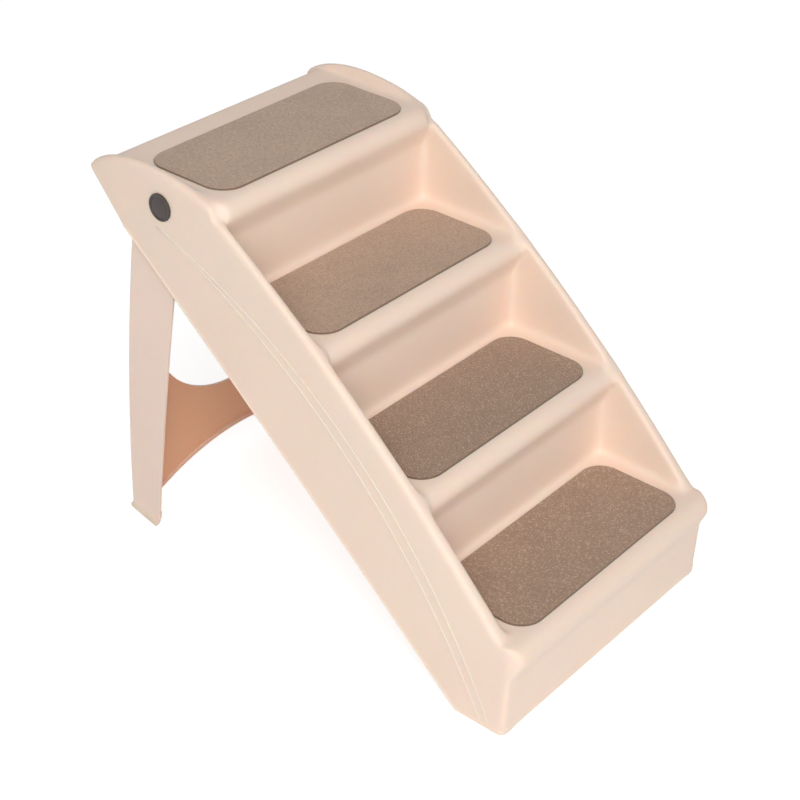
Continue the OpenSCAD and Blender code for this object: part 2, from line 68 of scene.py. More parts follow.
class StairsSizes(bpy.types.PropertyGroup):
    """Sizes of the stairs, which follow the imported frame"""

    first_tread: length("First tread", "Height of the lowest tread above the floor", 0.126)
    rise: length("Rise", "Rise from one tread to the next", 0.1275)
    run: length("Run", "Run from one nose to the next", 0.149)
    nose_radius: length("Nose radius", "Radius of a step's rounded nose", 0.018)
    nose_reach: length("Nose reach", "How far a nose stands in front of its riser", 0.012)
    nose_depth: length("Nose depth", "Height of a nose, down to where its underside meets the riser", 0.0468)
    riser_lean: length("Riser lean", "How far the front riser leans back at its foot", 0.002)
    platform_back: length("Platform back", "Distance of the platform's back edge behind the first nose", 0.640)
    back_wall_end: length("Back wall end", "Height of the lower end of the platform's back wall", 0.4695)
    depth: length("Depth", "Whole depth of the stairs", 0.660)
    rim_lift: length("Rim lift", "How far the rims' highest point stands above the platform", 0.015)
    rim_bow: length("Rim bow", "How far the long stretch of a rim bows above a straight line", 0.0173)
    rim_setback: length("Rim setback", "How far a rim lies behind the noses that it starts and ends at", 0.009)
    well_half: length("Well half width", "Half of the clear width between the rims", 0.1805)
    skin_half: length("Skin half width", "Half of the width over the side skins, level with the pivot", 0.1922)
    wall: length("Wall", "Thickness of the moulded wall", 0.0032)
    floor_fillet: length("Floor fillet", "Reach of the blend between a tread and the wall of the well", 0.019)
    corner_fillet: length("Corner fillet", "Reach of the blend between a riser and the wall of the well", 0.026)
    crest_round: length("Crest rounding", "Reach of the rounding of the rims' crest", 0.012)
    lip_height: length("Lip height", "Height of the band along the front riser's lower edge", 0.0075)
    lip_step: length("Lip step", "How far the band along a lower edge stands proud", 0.0012)
    edge_lip: length("Edge lip", "Width of the raised lip along a side skin's lower edge", 0.0026)
    pivot_back: length("Pivot back", "Distance of the leg's pivot behind the first nose", 0.540)
    pivot_up: length("Pivot height", "Height of the leg's pivot above the floor", 0.4795)
    bead_radius: length("Bead radius", "Half of the width of a raised line on a side skin", 0.0011)
    bead_height: length("Bead height", "How far a raised line stands out of the side skin", 0.0009)
    pad_width: length("Pad width", "Width of a carpet pad", 0.325)
    pad_depth: length("Pad depth", "Depth of a carpet pad", 0.1305)
    pad_height: length("Pad height", "Thickness of a carpet pad", 0.003)
    pad_corner: length("Pad corner", "Radius of a pad's corners", 0.030)
    pad_setback: length("Pad setback", "Distance of a pad's front edge behind the nose", 0.020)
    pad_recess: length("Pad recess", "Depth of the recess that holds a pad", 0.0012)
    pad_gap: length("Pad gap", "Gap round a pad in its recess", 0.0006)
    journal_radius: length("Journal radius", "Radius of a hinge plug's journal", 0.011)
    cap_radius: length("Cap radius", "Radius of a hinge plug's cap", 0.017)
    cap_height: length("Cap height", "How far a cap stands out of its seat", 0.0024)
    leg_back: length("Leg back", "Distance from the pivot back to the leg's rear line", 0.0508)
    leg_bow: length("Leg bow", "How far the leg's rear line bows backwards", 0.008)
    leg_wall: length("Leg wall", "Thickness of the leg's plates", 0.003)
    leg_heel: length("Leg heel", "How far the heel lies below the pivot, along the leg", 0.47473)
    leg_panel: length("Leg panel", "How far the cross panel's upper edge lies below the pivot", 0.03186)
    leg_corner: length("Leg corner", "Radius of the leg's rear corners", 0.003)
    leg_edge: length("Leg edge", "Radius of the leg's other edges", 0.0008)


class StairsColours(bpy.types.PropertyGroup):
    """Colours of the stairs' finishes"""

    shell: colour("Shell", "Peach beige of the moulded shell", (0.915, 0.715, 0.590))
    leg: colour("Leg", "Peach beige of the leg", (0.905, 0.71, 0.605))
    # Leg inside: painted shade, a deeper orange that stands in for the warm bounce light in the leg's shaded inside
    leg_painted_warm_shade: colour("Leg inside", "Warmer beige of the leg's inner faces", (0.86, 0.47, 0.285))
    carpet: colour("Carpet", "Taupe of the carpet's pile", (0.321, 0.195, 0.123))
    # Carpet brushed: painted sheen, a lighter taupe that stands in for the light the pile catches
    carpet_painted_sheen: colour("Carpet brushed", "Taupe of pile brushed towards the light", (0.58, 0.385, 0.262))
    carpet_light: colour("Carpet light", "Lighter flecks of the carpet's pile", (0.66, 0.50, 0.38))
    # Carpet dark: the pile's real dark flecks, and also painted shade on the pads' side faces, where the gap round
    # each pad lies in shadow
    carpet_flecks_and_shade: colour("Carpet dark", "Darker flecks of the carpet's pile", (0.16, 0.10, 0.065))
    dark_plastic: colour("Dark plastic", "Very dark brown of the caps and the latch", (0.045, 0.030, 0.026))
    steel: colour("Steel", "Zinc-plated screws", (0.60, 0.60, 0.62))
    rubber: colour("Rubber", "Dark grey of the front feet", (0.035, 0.033, 0.032))
    beige_rubber: colour("Beige rubber", "Beige of the leg's feet", (0.80, 0.66, 0.52))
    floor: colour("Floor", "Pale studio floor", (0.86, 0.86, 0.86))


# Draft of the side skins and lean of the open leg, in degrees
SKIN_DRAFT = 1.045
LEG_LEAN = 5

# The rail's rear tip and the point above it, from the stairs' back end, and the knee and the peak, from the pivot
REAR_TIP = (0.0003, -0.0135)
OVER_TIP = (-0.008, -0.0050)
KNEE = (0.064, -0.047)
PEAK_BACK = 0.039
# Bows of the crest up to its peak, down from it and round the tip
PEAK_BOWS = (0.0065, 0.0068, 0.002)
# Length of the rail's foot, and height there and bow of the side skin's lower edge
RAIL_FOOT, SKIN_FOOT, UNDER_BOW = 0.068, 0.001, 0.003

# Rows of the shell's cage: angles round a nose, distances behind it, up a riser and at a corner
NOSE_ANGLES = (210, 180, 150, 120)
TREAD_ROWS = (0.045, 0.082, 0.112)
RISER_ROWS = (0.043, 0.069)
CORNER_ROW = 0.0158
# Points of a smooth curve's cage lie a little outside the arc that it draws
NOSE_SWELL = 1.03
# The platform's rows (places on the floor and the crest), and its back wall's (drop, share of the way to the tip)
PLATFORM_ROWS = ((0.505, 0.504), (0.550, 0.552), (0.590, 0.598), (0.6225, 0.634))
BACK_WALL_ROWS = ((0, 0.15), (0.0175, 0.55), (0.030, 0.85))
# The rows of the lowest nose, which ends short of the side skins
LOWEST_NOSE = range(6, 12)
# Height from which a rim stands to the full
FULL_RIM = 0.024

# Where the bores start along the pivot's axis, and depth of the caps' seats
BORE_START = 0.1865
SEAT_DEPTH = 0.0004
# Half width over the leg's side plates, radius of its head, and height of the stops below it
LEG_HALF = 0.1875
LEG_HEAD = 0.027
STOP_HEIGHT = 0.017
# Lower ends of the rests and the latch's boss, from the pivot
REST_LOW = -0.0547
BOSS_LOW = -0.0547522
# The side beads' upper end, from the pivot, and their (foot, bow)
BEAD_TOP = (0.008, -0.0275)
BEADS = ((0.047, -0.0595), (0.034, -0.0705))
# How much painted sheen each pad gets: a lighter tint that stands in for the light its pile catches, most on the
# upper pads
PAD_PAINTED_SHEEN = (0.28, 0.06, 0.72, 1.0)

# Lamps: (name, place, aim, size, power)
LAMPS = (
    ("key_lamp", (-2.1, -1.9, 1.5), (0, 0, 0.25), 2.2, 32),
    ("high_lamp", (-1.7, -1.7, 2.5), (0, 0, 0.3), 2.4, 41),
)
# The camera's place, its azimuth, elevation and roll in degrees, and its lens in millimetres on a sensor of 36
CAMERA_PLACE = (-1.400, -1.137, 1.397)
CAMERA_TURN = (-50.7028, 33.1936, 1.5010)
SENSOR = 36
LENS = 1763.9267 / 800 * SENSOR


def sizes():
    return bpy.context.scene.stairs_sizes


def colours():
    return bpy.context.scene.stairs_colours


def bowed(a, b, sag, count):
    """Points of a gentle bow from a to b that stands out by sag on its left side"""
    a, b = Vector(a), Vector(b)
    way = (b - a).normalized()
    left = Vector((-way.y, way.x))
    shares = [i / count for i in range(count + 1)]
    return [a + (b - a) * t + left * (4 * sag * t * (1 - t)) for t in shares]


def arc(centre, radius, start, end, count):
    """Points of an arc, with its angles in degrees"""
    angles = [math.radians(start + (end - start) * i / count) for i in range(count + 1)]
    return [Vector((centre[0] + radius * math.cos(a), centre[1] + radius * math.sin(a))) for a in angles]


def skin_at(up):
    """Half width over the drafted side skins at a height"""
    s = sizes()
    return s.skin_half + (s.pivot_up - up) * math.tan(math.radians(SKIN_DRAFT))


def step_top(k):
    """Front edge and height of tread k"""
    s = sizes()
    return k * s.run, s.first_tread + k * s.rise


def tip_points():
    """The rail's rear tip, the point above it and the knee below it"""
    s = sizes()
    up = step_top(3)[1]
    tip = Vector((s.depth + REAR_TIP[0], up + REAR_TIP[1]))
    over = Vector((s.depth + OVER_TIP[0], up + OVER_TIP[1]))
    knee = Vector((s.pivot_back + KNEE[0], s.pivot_up + KNEE[1]))
    return tip, over, knee


def crest_points():
    """The rim's crest, from the first nose to the rail's rear tip"""
    s = sizes()
    back, up = step_top(3)
    nose = (back + s.nose_radius + s.rim_setback, up - s.nose_radius)
    peak = (s.pivot_back + PEAK_BACK, up + s.rim_lift)
    tip, over, _ = tip_points()
    turn = arc(nose, s.nose_radius, 165, 90, 12)
    line = bowed((s.nose_radius + s.rim_setback, s.first_tread), turn[0], s.rim_bow, 40)
    line += turn[1:]
    line += bowed((nose[0] + 0.002, up), peak, PEAK_BOWS[0], 20)
    line += bowed(peak, over, PEAK_BOWS[1], 20)[1:]
    line += bowed(over, tip, PEAK_BOWS[2], 8)[1:]
    return line


def under_points():
    """The side skin's lower edge, from the rail's foot to the knee"""
    s = sizes()
    foot = (s.nose_reach + s.riser_lean + RAIL_FOOT, SKIN_FOOT)
    return bowed(foot, tip_points()[2], UNDER_BOW, 40)


def along(line, share):
    """The point at a share of a line's length"""
    spans = [(b - a).length for a, b in zip(line, line[1:])]
    left = share * sum(spans)
    for (a, b), span in zip(zip(line, line[1:]), spans):
        if left <= span and span > 0:
            return a.lerp(b, left / span)
        left -= span
    return line[-1].copy()


def crest_above(point, line):
    """Where the line that stands square on the stairs' slope at a point meets the crest"""
    slope = math.atan2(sizes().rise, sizes().run)
    up = Vector((-math.sin(slope), math.cos(slope)))
    best = None
    for a, b in zip(line, line[1:]):
        span = b - a
        cross = up.x * span.y - up.y * span.x
        if abs(cross) < 1e-12:
            continue
        gap = a - point
        reach = (gap.x * span.y - gap.y * span.x) / cross
        share = (gap.x * up.y - gap.y * up.x) / cross
        if -1e-6 <= share <= 1 + 1e-6 and reach > -1e-4 and (best is None or reach < best):
            best = reach
    if best is None:
        raise ValueError("no crest above %s" % point)
    return point + up * max(best, 0)


def floor_rows():
    """Rows of the shell's cage: (point on the floor, point on the crest, how far proud, whether on a riser)"""
    s = sizes()
    crest = crest_points()
    rows = []

    def row(back, up, top=None, proud=0.0, riser=False):
        point = Vector((back, up))
        if top is None:
            top = crest_above(point, crest)
        elif top == "itself":
            top = point.copy()
        elif top == "behind":
            top = point + Vector((s.rim_setback, 0))
        rows.append((point, top, proud, riser))

    def nose(k, top):
        back, up = step_top(k)
        row(back + s.nose_reach, up - s.nose_depth, top, riser=top is None)
        reach = s.nose_radius * NOSE_SWELL
        for angle in NOSE_ANGLES:
            turn = math.radians(angle)
            row(back + s.nose_radius + reach * math.cos(turn), up - s.nose_radius + reach * math.sin(turn), top)
        row(back + s.nose_radius, up, top)

    foot = s.nose_reach + s.riser_lean
    lean = s.riser_lean / (s.first_tread - s.nose_depth)
    band, crease = s.lip_height, 0.0004
    for up, proud in ((0.004, 1), (band - crease, 1), (band + crease, 0), (0.013, 0), (0.045, 0), (0.068, 0)):
        row(foot - lean * up, up, "itself", proud * s.lip_step)
    nose(0, "itself")
    for k in range(3):
        back, up = step_top(k)
        corner = back + s.run + s.nose_reach
        row(back + s.nose_radius + 0.008, up, None if k else "itself")
        if k == 0:
            row(back + s.nose_radius + 0.016, up)
        for step in TREAD_ROWS:
            row(back + s.nose_radius + step, up)
        row(corner - CORNER_ROW, up)
        row(corner, up)
        for step in (CORNER_ROW, *RISER_ROWS):
            row(corner, up + step, riser=True)
        nose(k + 1, "behind" if k == 2 else None)
        if k == 2:
            # The platform's nose starts under the crest and runs into it
            for i in range(-6, -4):
                point, _, proud, _ = rows[i]
                rows[i] = (point, crest_above(point, crest), proud, i == -6)
    back, up = step_top(3)
    tip, over, _ = tip_points()
    row(back + s.nose_radius + 0.020, up)
    for step, place in PLATFORM_ROWS:
        above = min(crest, key=lambda p: abs(p.x - place) + (0 if p.y > up - 0.02 else 1))
        row(step, up, above)
    for drop, share in BACK_WALL_ROWS:
        row(s.platform_back, up - drop, over.lerp(tip, share))
    row(s.platform_back, s.back_wall_end, tip)
    return rows


def deselect():
    for thing in bpy.context.selected_objects:
        thing.select_set(False)


def only(piece):
    """Makes a piece the only selected object, and the active one"""
    deselect()
    piece.select_set(True)
    bpy.context.view_layer.objects.active = piece


def named(name):
    piece = bpy.context.object
    piece.name = piece.data.name = name
    only(piece)
    return piece


def apply_modifier(piece, kind, **settings):
    only(piece)
    modifier = piece.modifiers.new(kind.title(), kind)
    for key, value in settings.items():
        setattr(modifier, key, value)
    bpy.ops.object.modifier_apply(modifier=modifier.name)


def smoothed(piece, levels):
    apply_modifier(piece, "SUBSURF", levels=levels, render_levels=levels)


def settle(piece):
    """Puts a piece's place in its mesh, with its object at the origin"""
    only(piece)
    bpy.ops.object.transform_apply(location=True, rotation=True, scale=True)


def open_mesh():
    """Opens the active piece in edit mode, with all of it selected"""
    bpy.ops.object.mode_set(mode="EDIT")
    bpy.ops.mesh.select_all(action="SELECT")


def close_mesh(outwards=False):
    """Leaves edit mode, and on request turns all faces outwards first"""
    if outwards:
        bpy.ops.mesh.select_all(action="SELECT")
        bpy.ops.mesh.normals_make_consistent(inside=False)
    bpy.ops.object.mode_set(mode="OBJECT")


def shaded(piece, degrees):
    only(piece)
    bpy.ops.object.shade_smooth_by_angle(angle=math.radians(degrees))


def pick(piece, mode, test):
    """Selects the edges or faces of the piece in edit mode that pass a test"""
    bpy.ops.mesh.select_mode(type=mode)
    bpy.ops.mesh.select_all(action="DESELECT")
    mesh = bmesh.from_edit_mesh(piece.data)
    found = [part for part in {"EDGE": mesh.edges, "FACE": mesh.faces}[mode] if test(part)]
    if not found:
        raise ValueError("%s: nothing to select" % piece.name)
    for part in found:
        part.select_set(True)
    mesh.select_flush_mode()
    bmesh.update_edit_mesh(piece.data)


def side_plate(name, outline, low, high):
    """A plate whose outline lies in the side plane, from low to high across the stairs"""
    deselect()
    bpy.ops.mesh.primitive_circle_add(vertices=len(outline), radius=1, fill_type="NGON")
    plate = named(name)
    middle = sizes().depth / 2
    for vertex, point in zip(plate.data.vertices, outline):
        vertex.co = (low, point[0] - middle, point[1])
    open_mesh()
    bpy.ops.mesh.extrude_region_move(TRANSFORM_OT_translate={"value": (high - low, 0, 0)})
    close_mesh(outwards=True)
    apply_modifier(plate, "BEVEL", width=0.0004, segments=2, limit_method="ANGLE", angle_limit=math.radians(40))
    return plate


def block(name, low, high, edge=0.0004):
    """A box between two corners, with its edges rounded"""
    deselect()
    bpy.ops.mesh.primitive_cube_add(size=1, location=[(a + b) / 2 for a, b in zip(low, high)])
    piece = named(name)
    open_mesh()
    bpy.ops.transform.resize(value=[b - a for a, b in zip(low, high)])
    bpy.ops.mesh.bevel(offset=edge, segments=2, affect="EDGES")
    close_mesh()
    settle(piece)
    return piece


def turned(name, rings, count=64):
    """A round piece: rings are (height, radius) along its axis, and it is closed at both ends"""
    deselect()
    height, radius = rings[0]
    bpy.ops.mesh.primitive_circle_add(vertices=count, radius=radius, fill_type="NGON", location=(0, 0, height))
    piece = named(name)
    open_mesh()
    for (height, radius), (next_height, next_radius) in zip(rings, rings[1:]):
        bpy.ops.mesh.extrude_region_move(TRANSFORM_OT_translate={"value": (0, 0, next_height - height)})
        share = next_radius / radius
        bpy.ops.transform.resize(value=(share, share, 1), center_override=(0, 0, next_height))
    close_mesh(outwards=True)
    settle(piece)
    return piece


def moved(piece, matrix):
    """Moves a piece's mesh, and keeps its faces outwards where the move mirrors it"""
    piece.data.transform(matrix)
    if matrix.determinant() < 0:
        only(piece)
        open_mesh()
        bpy.ops.mesh.flip_normals()
        close_mesh()
    piece.data.update()
    return piece


def joined(pieces, name):
    deselect()
    for piece in pieces:
        piece.select_set(True)
    bpy.context.view_layer.objects.active = pieces[0]
    if len(pieces) > 1:
        bpy.ops.object.join()
    return named(name)


def cut(piece, cutter):
    """Cuts the cutter's shape out of a piece, and removes the cutter"""
    apply_modifier(piece, "BOOLEAN", object=cutter, operation="DIFFERENCE", solver="EXACT")
    bpy.data.meshes.remove(cutter.data)


def copied(piece, name):
    twin = piece.copy()
    twin.data = piece.data.copy()
    twin.name = twin.data.name = name
    bpy.context.collection.objects.link(twin)
    return twin


def cad_copy(node, name):
    """A merged copy of a CAD node's mesh, as a start for a finished piece"""
    piece = bpy.data.objects.new(name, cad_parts[node].data.copy())
    piece.data.name = name
    piece.data.materials.clear()
    bpy.context.collection.objects.link(piece)
    only(piece)
    open_mesh()
    bpy.ops.mesh.remove_doubles(threshold=1e-5)
    bpy.ops.mesh.dissolve_limited(angle_limit=math.radians(0.4), delimit={"SHARP"})
    close_mesh()
    return piece


def tilted(angle):
    """A frame at the pivot that is turned about the hinge's axis, by an angle in radians"""
    s = sizes()
    place = Matrix.Translation((0, s.pivot_back - s.depth / 2, s.pivot_up))
    return place @ Matrix.Rotation(angle, 4, "X")


def pivot_frame(side):
    """The pivot's own frame: Z runs along the hinge, out of the side"""
    return Matrix.Scale(side, 4, (1, 0, 0)) @ tilted(0) @ Matrix.Rotation(math.radians(90), 4, "Y")


def rounded_slab(name, width, depth, height, corner, edge=0.0, count=10):
    """A flat slab with rounded corners whose front edge lies on Y = 0, with its upper edge rounded"""
    deselect()
    bpy.ops.mesh.primitive_plane_add(size=1, location=(0, depth / 2, 0))
    slab = named(name)
    open_mesh()
    bpy.ops.transform.resize(value=(width, depth, 1))
    bpy.ops.mesh.bevel(offset=corner, segments=count, affect="VERTICES")
    bpy.ops.mesh.select_all(action="SELECT")
    bpy.ops.mesh.extrude_region_move(TRANSFORM_OT_translate={"value": (0, 0, height)})
    if edge:
        pick(slab, "EDGE", lambda e: all(abs(v.co.z - height) < 1e-6 for v in e.verts))
        bpy.ops.mesh.bevel(offset=edge, segments=3, affect="EDGES")
        pick(slab, "FACE", lambda f: f.normal.z > 0.999)
        bpy.ops.mesh.inset(thickness=edge)
    close_mesh(outwards=True)
    settle(slab)
    return slab


class Wire:
    """A socket of a material's node tree, with arithmetic that adds the Math nodes"""

    def __init__(self, tree, socket):
        self.tree, self.socket = tree, socket

    def maths(self, operation, *values):
        node = self.tree.nodes.new("ShaderNodeMath")
        node.operation = operation
        for slot, value in zip(node.inputs, values):
            if isinstance(value, Wire):
                self.tree.links.new(value.socket, slot)
            else:
                slot.default_value = value
        return Wire(self.tree, node.outputs[0])

    def __add__(self, other):
        return self.maths("ADD", self, other)

    def __sub__(self, other):
        return self.maths("SUBTRACT", self, other)

    def __mul__(self, other):
        return self.maths("MULTIPLY", self, other)

    def clamped(self):
        return self.maths("MINIMUM", self.maths("MAXIMUM", self, 0.0), 1.0)


class Nodes:
    """A node tree in the making"""

    def __init__(self, owner):
        owner.use_nodes = True
        self.tree = owner.node_tree
        self.tree.nodes.clear()

    def node(self, kind, settings=None, out=0, **inputs):
        """Adds a node, sets what it does, then its sockets, and gives one of its outputs"""
        node = self.tree.nodes.new("ShaderNode" + kind)
        for key, value in (settings or {}).items():
            setattr(node, key, value)
        for key, value in inputs.items():
            socket = node.inputs[int(key[1:])] if key[0] == "_" else node.inputs[key.replace("_", " ")]
            if isinstance(value, Wire):
                self.tree.links.new(value.socket, socket)
            else:
                socket.default_value = value
        return Wire(self.tree, node.outputs[out]) if len(node.outputs) else None

    def seen(self):
        """1 on the rays that look at a thing, and 0 on those that only light it"""
        rays = [self.node("LightPath", out="Is %s Ray" % kind) for kind in ("Camera", "Glossy", "Transmission")]
        return (rays[0] + rays[1] + rays[2]).clamped()

    def place(self):
        return self.node("TexCoord", out="Object")

    def noise(self, where, scale, detail=2.0, roughness=0.5):
        return self.node("TexNoise", Vector=where, Scale=scale, Detail=detail, Roughness=roughness)

    def mixed(self, share, first, second):
        """A colour between two, by a share"""
        return self.node("Mix", {"data_type": "RGBA"}, out=2, _0=share, _6=first, _7=second)

    def bumped(self, height, strength, distance):
        return self.node("Bump", Strength=strength, Distance=distance, Height=height)


class Finish(Nodes):
    """A material in the making"""

    def __init__(self, name):
        self.material = bpy.data.materials.new(name)
        super().__init__(self.material)

    def done(self, **inputs):
        """Ends the material in one Principled shader"""
        surface = self.node("BsdfPrincipled", **inputs)
        self.node("OutputMaterial", Surface=surface)
        return self.material


def full(tint, factor=1.0):
    """A colour with alpha, made lighter or darker by a factor"""
    return tuple(min(1.0, c * factor) for c in tint) + (1.0,)


def moulded_plastic(name, tint, roughness, inner=None):
    """Matte moulded plastic: faint clouding, fine mould grain and an uneven sheen, with painted warm shade on its
    inner faces
    """
    f = Finish(name)
    where = f.place()
    cloud = f.noise(where, 7.0, 3.0)
    grit = f.noise(where, 620.0, 3.0, 0.6)
    ripple = f.noise(where, 38.0, 2.0)
    tone = f.mixed((cloud * 1.6 - 0.3).clamped(), full(tint, 0.965), full(tint, 1.02))
    speck = (grit * 5.0 - 3.1).clamped()
    base = f.mixed(speck * 0.16, tone, full(tint, 1.10))
    # Painted warm shade: faces marked inner take a deeper orange in place of the warm bounce light inside the leg
    if inner:
        mask = f.node("Attribute", {"attribute_name": "inner"}, out="Fac")
        base = f.mixed(mask, base, full(inner))
    sheen = (cloud * 0.10 + grit * 0.10 + (roughness - 0.10)).clamped()
    height = grit * 0.55 + ripple * 0.45
    return f.done(
        Base_Color=base,
        Roughness=sheen,
        Normal=f.bumped(height, 0.35, 0.00012),
        IOR=1.46,
        Specular_IOR_Level=0.55,
        Subsurface_Weight=0.35,
        Subsurface_Radius=(1.0, 0.32, 0.12),
        Subsurface_Scale=0.006,
    )


def carpet_pile(name):
    """Short felt pile: clouded taupe with light and dark flecks, a painted sheen that differs from pad to pad, and
    painted shade along its side faces
    """
    c = colours()
    f = Finish(name)
    where = f.place()
    cloud = f.noise(where, 22.0, 4.0, 0.62)
    tuft = f.noise(where, 210.0, 3.0, 0.6)
    fibre = f.noise(where, 900.0, 2.0, 0.7)
    fleck = f.noise(where, 520.0, 1.0, 0.5)
    painted_sheen = f.node("Attribute", {"attribute_name": "painted_sheen"}, out="Fac")
    # Painted sheen: each pad's own share of a lighter taupe stands in for the light its pile catches
    brushed = f.mixed(painted_sheen, full(c.carpet), full(c.carpet_painted_sheen))
    shade = f.mixed((cloud * 2.4 - 0.75).clamped(), full((0.84, 0.84, 0.84)), full((1.0, 1.0, 1.0)))
    ground = f.node("Mix", {"data_type": "RGBA", "blend_type": "MULTIPLY"}, out=2, _0=1.0, _6=brushed, _7=shade)
    worn = f.mixed((tuft * 2.6 - 0.95).clamped() * 0.45, ground, full(c.carpet, 0.72))
    dark = f.mixed((fibre * 6.0 - 2.9).clamped() * 0.42, worn, full(c.carpet_flecks_and_shade))
    base = f.mixed((fleck * 7.0 - 3.7).clamped() * 0.5, dark, full(c.carpet_light))
    # Painted shade: a pad's side faces go dark, in place of the shadow in the gap round it
    base = f.mixed(f.node("Attribute", {"attribute_name": "rim"}, out="Fac") * 0.8, base, full(c.carpet_flecks_and_shade))
    height = fibre * 0.5 + tuft * 0.5
    return f.done(
        Base_Color=base,
        Roughness=0.96,
        Normal=f.bumped(height, 0.9, 0.0007),
        Specular_IOR_Level=0.15,
        Sheen_Weight=0.55,
        Sheen_Roughness=0.55,
        Sheen_Tint=(1.0, 0.93, 0.86, 1.0),
    )


def satin_dark(name, tint):
    """Dark satin plastic with a fine grain"""
    f = Finish(name)
    where = f.place()
    grit = f.noise(where, 900.0, 2.0, 0.6)
    cloud = f.noise(where, 60.0, 2.0)
    base = f.mixed((cloud * 1.8 - 0.4).clamped(), full(tint, 0.85), full(tint, 1.25))
    return f.done(
        Base_Color=base,
        Roughness=(grit * 0.16 + 0.34).clamped(),
        Normal=f.bumped(grit, 0.3, 0.00008),
        Specular_IOR_Level=0.5,
    )


def plated_steel(name, tint):
    """Zinc-plated steel with faint brushed streaks"""
    f = Finish(name)
    where = f.place()
    brushed = f.node("Mapping", Vector=where, Scale=(40.0, 600.0, 600.0))
    streak = f.noise(brushed, 3.0, 3.0)
    base = f.mixed(streak, full(tint, 0.85), full(tint, 1.1))
    rough = (streak * 0.2 + 0.24).clamped()
    return f.done(Base_Color=base, Metallic=1.0, Roughness=rough, Normal=f.bumped(streak, 0.2, 0.00005))


def foot_rubber(name, tint, low=0.8, high=1.5):
    """Matte rubber with a powdery grain"""
    f = Finish(name)
    where = f.place()
    grit = f.noise(where, 700.0, 3.0, 0.6)
    cloud = f.noise(where, 45.0, 2.0)
    base = f.mixed((cloud * 2.0 - 0.5).clamped(), full(tint, low), full(tint, high))
    return f.done(Base_Color=base, Roughness=(grit * 0.1 + 0.78).clamped(), Normal=f.bumped(grit, 0.4, 0.0002))


def finish(slot):
    """A slot's finish, made once"""
    name = "stairs_" + slot
    made = bpy.data.materials.get(name)
    if made:
        return made
    c = colours()
    makers = {
        "shell": lambda: moulded_plastic(name, c.shell, 0.50),
        "leg": lambda: moulded_plastic(name, c.leg, 0.52, inner=c.leg_painted_warm_shade),
        "carpet": lambda: carpet_pile(name),
        "dark_plastic": lambda: satin_dark(name, c.dark_plastic),
        "steel": lambda: plated_steel(name, c.steel),
        "rubber": lambda: foot_rubber(name, c.rubber),
        "beige_rubber": lambda: foot_rubber(name, c.beige_rubber, 0.96, 1.04),
    }
    return makers[slot]()


def dress(piece, slot, body, *nodes):
    """Gives a finished piece the material of its slot and its body, and hides the CAD nodes that it stands for"""
    piece.data.materials.clear()
    piece.data.materials.append(finish(slot))
    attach(piece, body)
    if nodes:
        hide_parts(*nodes)
    return piece


def shell_sheet():
    """The shell's cage: one sheet over the floor, the walls of the well, the rims and the side skins"""
    s = sizes()
    rows = floor_rows()
    under = under_points()
    tip, _, knee = tip_points()
    slope = math.atan2(s.rise, s.run)
    uphill = Vector((math.cos(slope), math.sin(slope)))
    first, last = rows[0][1].dot(uphill), rows[-1][1].dot(uphill)
    proud_half = s.lip_step / 2
    table = []
    for index, (point, top, proud, riser) in enumerate(rows):
        reach = (top - point).length
        share = min(1.0, reach / FULL_RIM)
        rest = 1 - share * share * (3 - 2 * share)
        low = along(under, (top.dot(uphill) - first) / (last - first))
        if index == len(rows) - 1:
            low = knee.copy()
        edge = skin_at(top.y) - proud_half
        width = edge - s.well_half
        fillet = min(s.corner_fillet if riser else s.floor_fillet, 0.35 * reach)
        inset, further_in = (0.018, 0.003) if riser else (0.012, 0.009)
        under_rim = max(reach - s.crest_round, 0.65 * reach)

        def up_to(distance):
            return point.lerp(top, distance / reach) if reach > 1e-7 else point.copy()

        line = [
            (0.0, point),
            (0.090, point),
            (0.145, point),
            (s.well_half - inset - further_in, point),
            (s.well_half - rest * inset, point),
            (s.well_half - rest * 0.007, up_to(fillet)),
            (s.well_half - rest * 0.002, up_to(under_rim)),
            (s.well_half + rest * min(0.005, width * 0.3), top.copy()),
        ]
        if index in LOWEST_NOSE:
            # The side skins' front edges stand upright here
            line[-1] = (edge - 0.006, top.copy())
            rise = (top.y - s.first_tread + s.nose_depth) / s.nose_depth
            top = Vector((s.nose_reach + 0.0012 + 0.007 * rise * rise, top.y))
        span = (low - top).length
        near, far = min(0.034, 0.3 * span), span - 0.012
        roll = 0.06 * s.crest_round if index > LOWEST_NOSE.stop else 0
        reach_down = far - near
        for distance in (roll, s.crest_round + roll, near, near + 0.36 * reach_down, near + 0.7 * reach_down, far):
            line.append((None, top.lerp(low, distance / span)))
        line.append((None, top.lerp(low, 1 - (s.edge_lip + 0.001) / span)))
        line.append(("lip", top.lerp(low, 1 - (s.edge_lip - 0.0004) / span)))
        line.append(("lip", low))
        table.append((line, proud))

    across = len(table[0][0])
    columns = 2 * across - 1
    deselect()
    bpy.ops.mesh.primitive_grid_add(x_subdivisions=columns - 1, y_subdivisions=len(table) - 1, size=1)
    sheet = named("stepped_shell")
    middle = s.depth / 2
    for index, (line, proud) in enumerate(table):
        for column in range(columns):
            offset = column - (across - 1)
            wide, place = line[abs(offset)]
            back, up = place
            if index == 0 and isinstance(wide, float) and wide > s.well_half - 0.001:
                up = SKIN_FOOT
            if wide is None or wide == "lip":
                out = skin_at(up) - proud_half
                if wide == "lip" or proud:
                    out = skin_at(up) + proud_half - 0.0001
                if index == 0:
                    up = SKIN_FOOT
            else:
                out = wide
                back -= proud
            vertex = sheet.data.vertices[index * columns + column]
            vertex.co = (math.copysign(out, offset) if offset else 0.0, back - middle, up)
    open_mesh()
    close_mesh(outwards=True)
    tread = min(sheet.data.polygons, key=lambda f: (f.center - Vector((0.04, -0.25, s.first_tread))).length)
    if tread.normal.z < 0:
        sheet.data.flip_normals()
    return sheet


def pad_place(k):
    s = sizes()
    back, up = step_top(k)
    return Matrix.Translation((0, back + s.pad_setback - s.depth / 2, up - s.pad_recess))


